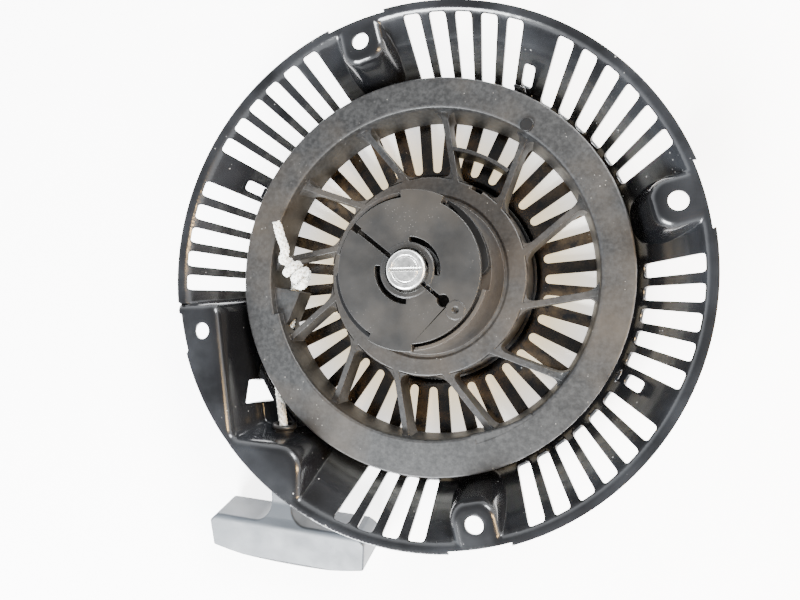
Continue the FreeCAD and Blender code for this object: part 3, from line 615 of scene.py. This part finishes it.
def rounded(corners, radius, steps=4):
    """An outline with every corner rounded."""
    outline = []
    count = len(corners)
    for k in range(count):
        before, here, after = (Vector(corners[(k + j) % count]) for j in (-1, 0, 1))
        run_in, run_out = before - here, after - here
        cut = min(radius, 0.45 * run_in.length, 0.45 * run_out.length)
        a, b = here + run_in.normalized() * cut, here + run_out.normalized() * cut
        for j in range(steps + 1):
            t = j / steps
            p = a * (1 - t) ** 2 + here * (2 * t * (1 - t)) + b * t ** 2
            outline.append((p.x, p.y))
    return outline


def wall_slot(first, inner=SLOT_R[0], outer=SLOT_R[1], span=SLOT_ANGLE):
    """A slot between two radii, a few degrees wide."""
    ends = ((inner, 0), (outer, 0), (outer, span), (inner, span))
    corners = [turn_point(r, 0, angle) for r, angle in ends]
    return [turn_point(x, y, first) for x, y in rounded(corners, SLOT_CORNER)]


def floor_slot(turn):
    """A wedge with a round inner end."""
    (start, end), (thin, wide) = FLOOR_SLOT_R, FLOOR_SLOT_HALF_WIDTHS
    outline = []
    for k in range(9):
        a = math.radians(90 + 180 * k / 8)
        outline.append((start + thin * math.cos(a), thin * math.sin(a)))
    outline += rounded([(start, -thin), (end, -wide), (end, wide), (start, thin)], 1.5)[5:15]
    return [turn_point(x, y, turn) for x, y in outline]


def circle(x, y, radius):
    """A round outline."""
    steps = [math.tau * k / CIRCLE_POINTS for k in range(CIRCLE_POINTS)]
    return [(x + radius * math.cos(a), y + radius * math.sin(a)) for a in steps]


def openings():
    """Outlines of every slot, window and hole in the sheet."""
    cuts = []
    for start in SLOT_STARTS:
        cuts += [wall_slot(start + k * SLOT_PITCH) for k in range(6)]
        cuts += [wall_slot(start + SECOND_SLOTS + k * SLOT_PITCH) for k in range(5)]
        cuts.append(wall_slot(start + GUIDE_SLOT[0], *GUIDE_SLOT[1:]))
    cuts += [wall_slot(LAST_SLOTS_START + k * SLOT_PITCH) for k in range(4)]
    turn = 360 / FLOOR_SLOT_COUNT
    cuts += [floor_slot(turn * k + FLOOR_SLOT_TURN) for k in range(FLOOR_SLOT_COUNT)]
    for k in range(4):
        x, y = turn_point(BOLT_R, 0, BOLT_ANGLE + 90 * k)
        cuts.append(circle(x, y, BOLT_HOLE_R))
    cuts.append(rounded(WINDOW, 0.7))
    return cuts


def gradient(field, x, y):
    """The direction in which a field grows fastest."""
    e = 0.02
    g = Vector((field(x + e, y) - field(x - e, y), field(x, y + e) - field(x, y - e)))
    return g.normalized()


def contour(field, x, y):
    """Points along the outline where a field is zero, inside the rim, in both directions from a start."""
    both = []
    for way in (1, -1):
        p = Vector((x, y))
        for _ in range(CONTOUR_LIMIT):
            g = gradient(field, p.x, p.y)
            p -= g * field(p.x, p.y)
            if p.length > RIM_R + 4.0:
                break
            both.append((p.copy(), g))
            p = p + Vector((-g.y, g.x)) * CONTOUR_STEP * way
            if len(both) > 3 and (p - Vector((x, y))).length < CONTOUR_STEP * 0.5:
                break
    return both


def inside(point, outline):
    """True for a point within a closed outline."""
    x, y = point
    hit = False
    for (x0, y0), (x1, y1) in zip(outline, outline[1:] + outline[:1]):
        if (y0 > y) != (y1 > y) and x < x0 + (y - y0) * (x1 - x0) / (y1 - y0):
            hit = not hit
    return hit


def grid_points():
    """Points over the sheet: rings, closer together at the bends, and rows along the pads' sides."""
    radii = [6, 14, 22, 30, 38, 46, 51, 52.6, 53.2, 53.7, 54.2, 54.7, 55.2, 55.8, 56.6]
    radii += [58.5 + 2.6 * k for k in range(15)]
    radii += [96.5 + 0.9 * k for k in range(11)]
    radii += [107.2 + 1.7 * k for k in range(9)]
    radii += [122.0 + 0.75 * k for k in range(8)] + [128.2, 128.9, 129.5]
    points = []
    for r in radii:
        count = max(24, int(math.tau * r / (1.9 if r > 94 else 2.6)))
        for k in range(count):
            a = math.tau * (k + 0.5 * (int(r * 7) % 2)) / count
            x, y = r * math.cos(a), r * math.sin(a)
            if r > 90 and min(abs(d - 0.5) for d in pad_distances(x, y)) < 6.6:
                continue
            if r < rim_radius(a) - 0.3:
                points.append((x, y))
    offsets = [-5.6, -4.6, -3.9, -3.2, -2.5, -1.9, -1.3, -0.8, -0.4, -0.1, 0.2]
    offsets += [0.7 + 0.55 * k for k in range(12)]
    fields = []
    for k in (0, 1, 3):
        angle = BOLT_ANGLE + 90 * k
        field = lambda x, y, a=angle: bolt_pad_distance(x, y, a)
        fields.append((field, turn_point(PAD_INNER_R, 0, angle)))
    fields.append((outlet_pad_distance, (-101.0, -55.0)))
    for field, start in fields:
        for p, g in contour(field, *start):
            for offset in offsets:
                q = p + g * offset
                a = math.atan2(q.y, q.x)
                if 92 < q.length < rim_radius(a) - 0.3:
                    points.append((q.x, q.y))
    return points


def in_opening(point, boxes):
    """True for a point in an opening; each opening comes with its box."""
    x, y = point
    for outline, (x0, y0, x1, y1) in boxes:
        if x0 < x < x1 and y0 < y < y1 and inside(point, outline):
            return True
    return False


def near_cut(point, boxes):
    """True for a point in or right beside an opening."""
    x, y = point
    for outline, (x0, y0, x1, y1) in boxes:
        if x0 < x < x1 and y0 < y < y1:
            if inside(point, outline):
                return True
            if min((x - u) ** 2 + (y - v) ** 2 for u, v in outline) < 0.2:
                return True
    return False


def flat_sheet():
    """The sheet seen from above: points, and triangles everywhere but in the openings."""
    cuts = openings()
    boxes = []
    for outline in cuts:
        xs, ys = zip(*outline)
        boxes.append((outline, (min(xs) - 0.5, min(ys) - 0.5, max(xs) + 0.5, max(ys) + 0.5)))
    rim = []
    for k in range(720):
        a = math.tau * k / 720
        rim.append((rim_radius(a) * math.cos(a), rim_radius(a) * math.sin(a)))
    points = [p for p in grid_points() if not near_cut(p, boxes)]
    edges = []
    for outline in cuts + [rim]:
        first = len(points)
        points += outline
        count = len(outline)
        edges += [(first + k, first + (k + 1) % count) for k in range(count)]
    flat, _, triangles, *_ = delaunay_2d_cdt([Vector(p) for p in points], edges, [], 0, 0.02)
    faces = []
    for triangle in triangles:
        middle = sum((flat[v] for v in triangle), Vector((0, 0))) / 3
        if middle.length > rim_radius(math.atan2(middle.y, middle.x)):
            continue
        spot = (middle.x, middle.y)
        if not in_opening(spot, boxes):
            faces.append(tuple(triangle))
    return flat, faces


def pressed_housing(paint):
    """The whole housing as one sheet with every opening cut, and its lanced rope guides."""
    flat, faces = flat_sheet()
    used = sorted({v for face in faces for v in face})
    new = {v: k for k, v in enumerate(used)}
    vertices = [at(flat[v].x, flat[v].y, sheet_height(flat[v].x, flat[v].y)) for v in used]
    faces = [tuple(new[v] for v in face) for face in faces]
    obj = mesh_object("housing_sheet", vertices, faces, paint)
    solid = obj.modifiers.new("sheet", "SOLIDIFY")
    solid.thickness = SHEET * MM
    solid.offset = -1.0
    ease = obj.modifiers.new("ease", "BEVEL")
    ease.width = 0.3 * MM
    ease.segments = 2
    ease.limit_method = "ANGLE"
    ease.angle_limit = math.radians(55)
    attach(obj, "housing")
    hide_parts("housing")
    for k, start in enumerate(SLOT_STARTS):
        rope_guide("rope_guide_%d" % (k + 1), start + GUIDE_ANGLE, paint)


def rope_guide(name, angle, paint):
    """A finger bent up from the wall beside the pulley."""
    profile = [(105.2, -37.6), (103.8, -34.0), (102.9, -29.0), (102.7, -20.0)]
    vertices, faces = [], []
    for r, z in profile:
        for side in (-3.0, 3.0):
            x, y = turn_point(r, side, angle)
            vertices.append(at(x, y, z))
    for k in range(len(profile) - 1):
        faces.append((2 * k, 2 * k + 1, 2 * k + 3, 2 * k + 2))
    obj = mesh_object(name, vertices, faces, paint)
    solid = obj.modifiers.new("sheet", "SOLIDIFY")
    solid.thickness = 1.4 * MM
    solid.offset = 0.0
    ease = obj.modifiers.new("ease", "BEVEL")
    ease.width = 0.5 * MM
    ease.segments = 2
    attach(obj, "housing")


# ---------------------------------------------------------------- pulley

def corner_fill(tip, along, beside, reach):
    """The outline of a concave round fill in the corner between two directions."""
    outline = [tip]
    start, end = tip + along * reach, tip + beside * reach
    for k in range(9):
        t = k / 8
        outline.append(start * (1 - t) ** 2 + tip * (2 * t * (1 - t)) + end * t ** 2)
    return outline


def web_fillets(material):
    """The moulded rounds where each spoke runs into the hub flange and the ring."""
    vertices, faces = [], []
    for k in range(SPOKE_COUNT):
        angle = SPOKE_FIRST_ANGLE + k * 360 / SPOKE_COUNT
        outer = Vector(turn_point(SPOKE_OUTER_R, 0, angle))
        inner = Vector(turn_point(SPOKE_INNER_R, 0, angle - SPOKE_SWEEP))
        run = (outer - inner).normalized()
        side = Vector((-run.y, run.x))
        for end, way, round_r in ((inner, 1, HUB_FLANGE_R), (outer, -1, RING_WALL_R)):
            for hand in (1, -1):
                start = end + side * (hand * SPOKE_HALF)
                b = start.dot(run)
                root = math.sqrt(max(b * b - start.length_squared + round_r ** 2, 0.0))
                tip = start + run * (-b + root if b > 0 else -b - root)
                tangent = Vector((-tip.y, tip.x)).normalized()
                if tangent.dot(side * hand) < 0:
                    tangent = -tangent
                outline = corner_fill(tip, run * way, tangent, FILL_REACH)
                low = len(vertices)
                count = len(outline)
                for z in (WEB_Z[0], WEB_Z[1]):
                    vertices += [at(p.x, p.y, z) for p in outline]
                for j in range(count):
                    i = (j + 1) % count
                    faces.append((low + j, low + i, low + count + i, low + count + j))
                faces.append(tuple(low + j for j in reversed(range(count))))
                faces.append(tuple(low + count + j for j in range(count)))
    obj = mesh_object("web_fillets", vertices, faces, material)
    obj.data.polygons.foreach_set("use_smooth", [False] * len(obj.data.polygons))
    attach(obj, "pulley")


def ring_taper(material):
    """The long taper with which the thick part of the ring's inner wall dies out."""
    vertices, faces = [], []
    for k in range(TAPER_STEPS + 1):
        share = k / TAPER_STEPS
        share = share * share * (3 - 2 * share)
        angle = TAPER_ANGLES[0] + (TAPER_ANGLES[1] - TAPER_ANGLES[0]) * k / TAPER_STEPS
        inner = TAPER_R[0] + (TAPER_R[1] - TAPER_R[0]) * share
        profile = ((inner, TAPER_Z[0]), (inner, TAPER_Z[1] - 0.9), (inner + 0.27, TAPER_Z[1] - 0.27),
                   (inner + 0.9, TAPER_Z[1]), (TAPER_OUTER_R, TAPER_Z[1]), (TAPER_OUTER_R, TAPER_Z[0]))
        for r, z in profile:
            vertices.append(at(*turn_point(r, 0, angle), z))
    side = len(profile)
    for k in range(TAPER_STEPS):
        for j in range(side):
            i = (j + 1) % side
            faces.append((side * k + j, side * k + i, side * k + side + i, side * k + side + j))
    last = side * TAPER_STEPS
    faces += [tuple(reversed(range(side))), tuple(range(last, last + side))]
    obj = mesh_object("ring_taper", vertices, faces, material)
    obj.data.polygons.foreach_set("use_smooth", [False] * len(faces))
    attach(obj, "pulley")


# ---------------------------------------------------------------- rope

def knot(material):
    """The overhand stopper knot on the ledge inside the ring, with its tail."""
    points = [at(-78.5, -26, -29.0), at(-76.3, -15, -27.0), at(-73.6, -5, -24.2), at(-68.0, -3.5, -21.0)]
    low, high = at(-62.8, -0.6, -16.4), at(-74.4, 7.2, -14.6)
    way = (high - low).normalized()
    across = way.cross(Vector((0, 0, 1))).normalized()
    up = across.cross(way)
    for k in range(KNOT_STEPS + 1):
        share = k / KNOT_STEPS
        a = math.tau * (KNOT_TURNS * share + KNOT_START_TURN)
        swell = KNOT_R * (0.75 + 0.35 * math.sin(math.pi * share))
        points.append(low.lerp(high, share) + across * (swell * math.cos(a)) + up * (swell * math.sin(a)))
    points += [at(-75.0, 9.6, -12.6), at(-73.4, 14.5, -12.0)]
    points += [at(-75.6, 21.5, -11.4), at(-77.6, 28.4, -11.0)]
    rope = braid("knot_braid", points, material, frayed=True)
    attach(rope, "pulley")
    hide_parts("rope_knot")


def run(material):
    """The rope from the winding through the eyelet to the grip."""
    winding_end = at(-87.3, -12.6, -21.8)
    outlet = at(-78.9, -84.0, -24.1)
    bend = at(-78.2, -88.4, -23.9)
    grip = at(-77.9, -95.2, -21.9)
    rope = braid("run_braid", [winding_end, winding_end.lerp(outlet, 0.5), outlet, bend, grip], material)
    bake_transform(rope)
    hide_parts("rope_run")


# ---------------------------------------------------------------- stage

def camera():
    """The camera at the photograph's angle."""
    data = bpy.data.cameras.new("camera")
    data.lens = CAMERA_LENS
    data.sensor_width = CAMERA_SENSOR
    data.clip_start = 0.01
    obj = bpy.data.objects.new("camera", data)
    bpy.context.scene.collection.objects.link(obj)
    turn = Matrix.Rotation(CAMERA_TILT, 3, "X") @ Matrix.Rotation(CAMERA_TURN, 3, "Y")
    obj.matrix_world = Matrix.Translation(CAMERA_PLACE) @ turn.transposed().to_4x4()
    bpy.context.scene.camera = obj


def floor(material):
    """The pale ground the starter lies on."""
    half = GROUND_HALF
    z = CAD_BOX[0].z - GROUND_GAP
    corners = [(-half, -half, z), (half, -half, z), (half, half, z), (-half, half, z)]
    mesh_object("ground", corners, [(0, 1, 2, 3)], material)


def area_light(name, place, size, power, colour):
    """A rectangular soft light that faces the starter."""
    data = bpy.data.lights.new(name, "AREA")
    data.shape = "RECTANGLE"
    data.size, data.size_y = size
    data.energy = power
    data.color = colour
    obj = bpy.data.objects.new(name, data)
    bpy.context.scene.collection.objects.link(obj)
    obj.location = place
    obj.rotation_euler = (-Vector(place)).to_track_quat("-Z", "Y").to_euler()


def light():
    """Surroundings that are brightest near the horizon, two large cool lights and a small warm one."""
    world = bpy.data.worlds.new("surroundings")
    bpy.context.scene.world = world
    world.use_nodes = True
    tree = world.node_tree
    background = tree.nodes["Background"]
    place = tree.nodes.new("ShaderNodeTexCoord")
    split = tree.nodes.new("ShaderNodeSeparateXYZ")
    height = tree.nodes.new("ShaderNodeMapRange")
    height.interpolation_type = "SMOOTHSTEP"
    height.inputs["From Min"].default_value = 0.25
    height.inputs["From Max"].default_value = 0.85
    height.inputs["To Min"].default_value = HORIZON_STRENGTH
    height.inputs["To Max"].default_value = ZENITH_STRENGTH
    tree.links.new(place.outputs["Generated"], split.inputs["Vector"])
    tree.links.new(split.outputs["Z"], height.inputs["Value"])
    tree.links.new(height.outputs["Result"], background.inputs["Strength"])
    background.inputs["Color"].default_value = (0.93, 0.96, 1.0, 1.0)
    area_light("key", (-0.5, -1.25, 1.0), (0.9, 0.7), 190.0, COOL)
    area_light("fill", (0.9, 1.0, 1.0), (0.7, 0.5), 70.0, COOL)
    area_light("warm", (0.78, -0.10, 0.62), (0.14, 0.45), 15.0, WARM)


# ---------------------------------------------------------------- the object

def build():
    """Every piece with its material, then the stage."""
    paint = black_paint()
    ring = ring_plastic()
    plate = plate_plastic()
    pawls = pawl_plastic()
    fibre = rope_fibre()
    plated = zinc()
    dark = dark_steel()
    bright = bright_steel()
    drawn = spring_steel()
    pressed_housing(paint)
    dress("pulley", ring, 0.3 * MM)
    dress("pulley_pin", pawls, 0.5 * MM)
    dress("friction_plate", plate, 0.3 * MM)
    dress("pawl_1", pawls, 0.3 * MM)
    dress("pawl_2", pawls, 0.3 * MM)
    dress("centre_screw", plated, 0.2 * MM)
    dress("screw_washer", plated, 0.1 * MM)
    dress("thrust_washer", plated)
    dress("friction_spring", drawn)
    dress("rewind_spring", drawn)
    dress("centre_post", bright)
    dress("hub_bushing", bronze())
    dress("spring_keeper", dark, 0.2 * MM)
    dress("rope_eyelet", dark)
    dress("rope_winding", fibre)
    dress("handle_grip", grip_plastic(), 0.9 * MM)
    dress("handle_insert", bright, 0.2 * MM)
    dress("handle_rope", fibre)
    dress("handle_knot", fibre)
    web_fillets(ring)
    ring_taper(ring)
    knot(fibre)
    run(fibre)
    floor(ground())
    light()
    camera()


build()
